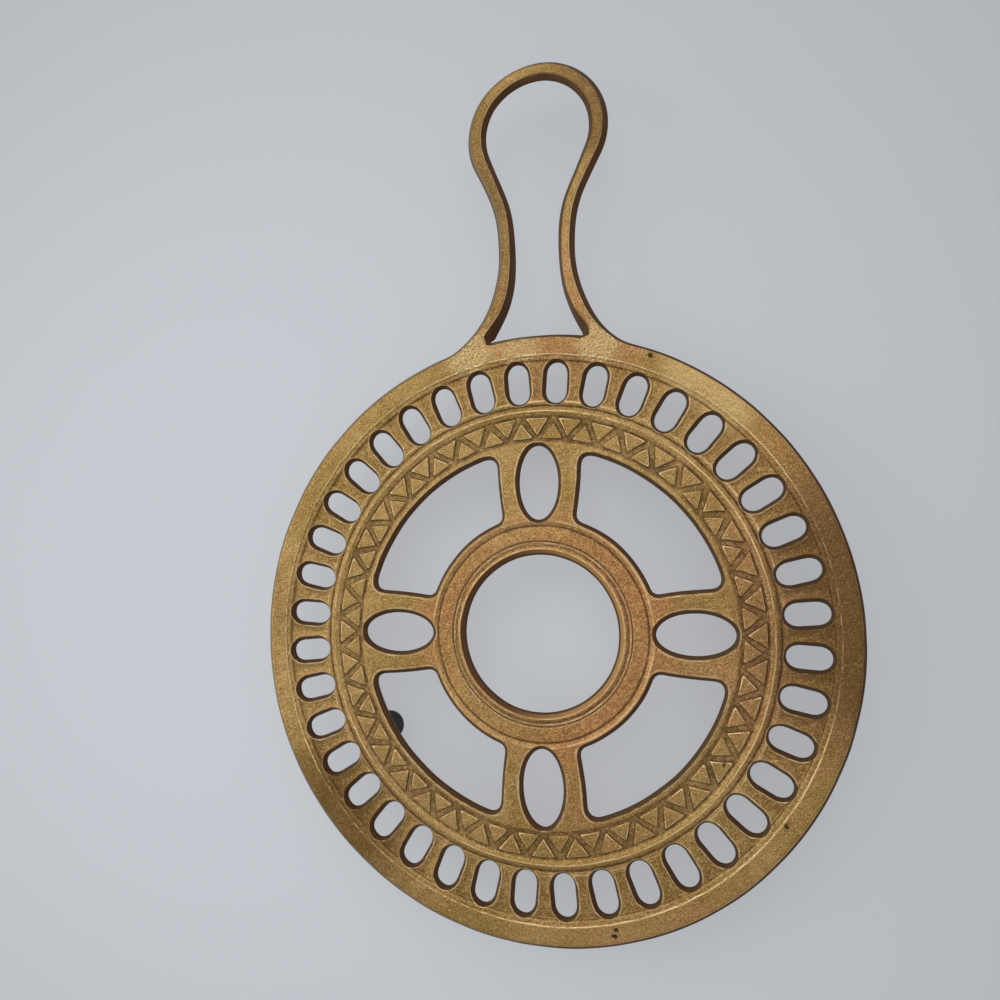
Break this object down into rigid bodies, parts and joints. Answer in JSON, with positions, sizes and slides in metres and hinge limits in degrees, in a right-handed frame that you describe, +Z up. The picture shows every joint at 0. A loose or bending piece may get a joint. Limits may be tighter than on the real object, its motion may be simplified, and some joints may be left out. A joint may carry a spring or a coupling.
{
  "type": "round trivet with a loop handle",
  "caption": "Round pierced cast brass trivet with a slotted rim, a zigzag band, four spokes and a looped handle, standing on cast legs with rubber boots.",
  "frame": {"origin": "on the surface the trivet stands on, below the middle of its bounding box; the disc's own centre lies 38.2 mm towards -Y", "axes": "+Z up through the disc, +Y from the disc towards the handle's loop, +X to the right when the handle points away"},
  "size_m": [0.1584, 0.2348, 0.016],
  "materials": {
    "cast_brass": "old sand-cast brass, worn bright on the edges and tarnished brown in the hollows",
    "black_rubber": "matt moulded black rubber"
  },
  "bodies": {
    "root": {"brass_casting": "cast_brass", "rubber_boot_handle": "black_rubber", "rubber_boot_left": "black_rubber", "rubber_boot_right": "black_rubber"}
  },
  "joints": []
}
